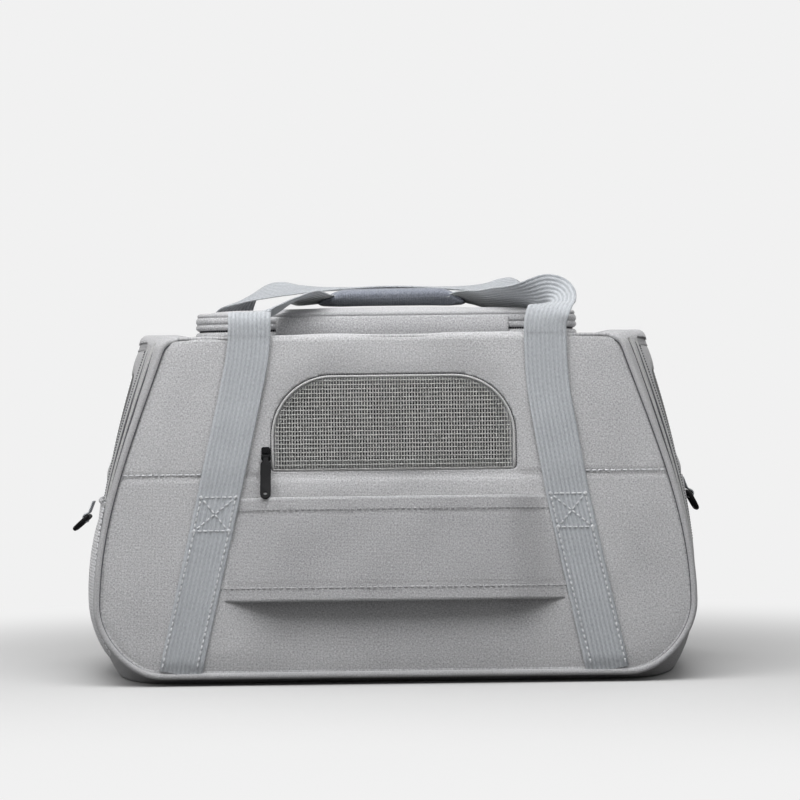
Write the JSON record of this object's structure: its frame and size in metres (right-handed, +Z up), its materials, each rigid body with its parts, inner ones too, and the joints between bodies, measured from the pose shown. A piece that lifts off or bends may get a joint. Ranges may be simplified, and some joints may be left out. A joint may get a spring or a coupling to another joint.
{
  "type": "pet transport carrier",
  "caption": "Soft-sided pet carrier with a zipped top flap, zipped mesh end doors and window, a suitcase-handle sleeve, padded grip and D-rings.",
  "frame": {"origin": "middle of the flat base", "axes": "+Z up, X along the carrier, -Y out of the side with the luggage sleeve"},
  "size_m": [0.4678, 0.3027, 0.2907],
  "materials": {
    "body_fabric": "heather grey woven polyester",
    "gusset_fabric": "heather grey woven polyester",
    "piping": "light grey welt tape",
    "zip_tape": "woven zip tape",
    "zip_chain": "coil zip",
    "mesh": "open polyester mesh",
    "webbing": "ribbed webbing",
    "grip_fabric": "padded blue-grey sleeve",
    "black_metal": "black enamel",
    "board": "textured sheet",
    "fleece": "short pile fleece"
  },
  "bodies": {
    "bag": {"near_upper_panel": "body_fabric", "near_lower_panel": "body_fabric", "far_upper_panel": "body_fabric", "far_lower_panel": "body_fabric", "left_end_frame": "body_fabric", "right_end_frame": "body_fabric", "top_panel": "body_fabric", "luggage_sleeve": "body_fabric", "base_gusset": "gusset_fabric", "near_piping": "piping", "far_piping": "piping", "lid_zip_rim": "zip_tape", "far_window_tape": "zip_tape", "lid_zip_chain": "zip_chain", "near_window_chain": "zip_chain", "far_window_chain": "zip_chain", "left_door_chain": "zip_chain", "right_door_chain": "zip_chain", "far_window_mesh": "mesh", "end_pocket": "mesh", "near_sewn_straps": "webbing", "far_sewn_straps": "webbing", "left_ring_tab": "webbing", "right_ring_tab": "webbing", "base_board": "board", "fleece_bed": "fleece"},
    "lid": {"lid_cover": "body_fabric", "lid_skirt": "body_fabric", "lid_mesh": "mesh"},
    "near_legs": {"near_handle_legs": "webbing"},
    "near_loop": {"near_handle_loop": "webbing", "padded_grip": "grip_fabric"},
    "far_legs": {"far_handle_legs": "webbing"},
    "far_loop": {"far_handle_loop": "webbing"},
    "window_flap": {"near_window_tape": "zip_tape", "near_window_mesh": "mesh"},
    "left_door": {"left_door_frame": "body_fabric", "left_door_mesh": "mesh"},
    "right_door": {"right_door_frame": "body_fabric", "right_door_mesh": "mesh"},
    "window_zip_slider": {"window_slider": "black_metal"},
    "window_tab": {"window_pull_tab": "black_metal"},
    "lid_zip_slider": {"lid_slider": "black_metal"},
    "lid_tab": {"lid_pull_tab": "black_metal"},
    "left_door_zip_slider": {"left_door_slider": "black_metal"},
    "left_door_tab": {"left_door_pull_tab": "black_metal"},
    "right_door_zip_slider": {"right_door_slider": "black_metal"},
    "right_door_tab": {"right_door_pull_tab": "black_metal"},
    "left_ring": {"left_d_ring": "black_metal"},
    "right_ring": {"right_d_ring": "black_metal"}
  },
  "joints": [
    {"name": "lid_hinge", "type": "hinge", "parent": "bag", "child": "lid", "pos_m": [0, -0.075, 0.2494], "axis": [1, 0, 0], "range_deg": [0, 100]},
    {"name": "near_legs_hinge", "type": "hinge", "parent": "bag", "child": "near_legs", "pos_m": [0, -0.13399, 0.13505], "axis": [1, 0, 0], "range_deg": [0, 80]},
    {"name": "near_handle_lift", "type": "hinge", "parent": "near_legs", "child": "near_loop", "pos_m": [0, -0.12667, 0.24705], "axis": [1, 0, 0], "range_deg": [0, 80]},
    {"name": "far_legs_hinge", "type": "hinge", "parent": "bag", "child": "far_legs", "pos_m": [0, 0.13399, 0.13505], "axis": [-1, 0, 0], "range_deg": [0, 125]},
    {"name": "far_handle_lift", "type": "hinge", "parent": "far_legs", "child": "far_loop", "pos_m": [0, 0.12667, 0.24705], "axis": [-1, 0, 0], "range_deg": [0, 80]},
    {"name": "window_flap_hinge", "type": "hinge", "parent": "bag", "child": "window_flap", "pos_m": [0, -0.12861, 0.14986], "axis": [1, 0, 0], "range_deg": [0, 100]},
    {"name": "left_door_hinge", "type": "hinge", "parent": "bag", "child": "left_door", "pos_m": [-0.21355, 0, 0.1424], "axis": [0, -1, 0], "range_deg": [0, 100]},
    {"name": "right_door_hinge", "type": "hinge", "parent": "bag", "child": "right_door", "pos_m": [0.21355, 0, 0.1424], "axis": [0, 1, 0], "range_deg": [0, 100]},
    {"name": "window_slider_travel", "type": "slide", "parent": "bag", "child": "window_zip_slider", "axis": [0, 0.0652, 0.9979], "range_m": [0, 0.009]},
    {"name": "window_tab_swing", "type": "hinge", "parent": "window_zip_slider", "child": "window_tab", "pos_m": [-0.0898, -0.13174, 0.16021], "axis": [-1, 0, 0], "range_deg": [0, 115]},
    {"name": "lid_slider_travel", "type": "slide", "parent": "bag", "child": "lid_zip_slider", "axis": [1, 0, 0], "range_m": [-0.09, 0.09]},
    {"name": "lid_tab_swing", "type": "hinge", "parent": "lid_zip_slider", "child": "lid_tab", "pos_m": [-0.018, 0.0788, 0.2508], "axis": [0, 0, 1], "range_deg": [0, 140]},
    {"name": "left_slider_travel", "type": "slide", "parent": "bag", "child": "left_door_zip_slider", "axis": [0.2855, -0.0691, 0.9559], "range_m": [-0.01, 0.01]},
    {"name": "left_tab_swing", "type": "hinge", "parent": "left_door_zip_slider", "child": "left_door_tab", "pos_m": [-0.19852, 0.08439, 0.1842], "axis": [0.2353, 0.9719, 0], "range_deg": [0, 140]},
    {"name": "right_slider_travel", "type": "slide", "parent": "bag", "child": "right_door_zip_slider", "axis": [-0.2855, -0.0691, 0.9559], "range_m": [-0.01, 0.01]},
    {"name": "right_tab_swing", "type": "hinge", "parent": "right_door_zip_slider", "child": "right_door_tab", "pos_m": [0.19852, 0.08439, 0.1842], "axis": [0.2353, -0.9719, 0], "range_deg": [0, 140]},
    {"name": "left_ring_swing", "type": "hinge", "parent": "bag", "child": "left_ring", "pos_m": [-0.22903, 0, 0.11453], "axis": [0, 1, 0], "range_deg": [-40, 100]},
    {"name": "right_ring_swing", "type": "hinge", "parent": "bag", "child": "right_ring", "pos_m": [0.21948, 0, 0.12749], "axis": [0, -1, 0], "range_deg": [-20, 120]}
  ],
  "couplings": [
    {"joint": "near_legs_hinge", "follows": "lid_hinge", "ratio": 0.75},
    {"joint": "far_legs_hinge", "follows": "lid_hinge", "ratio": 1.2}
  ]
}
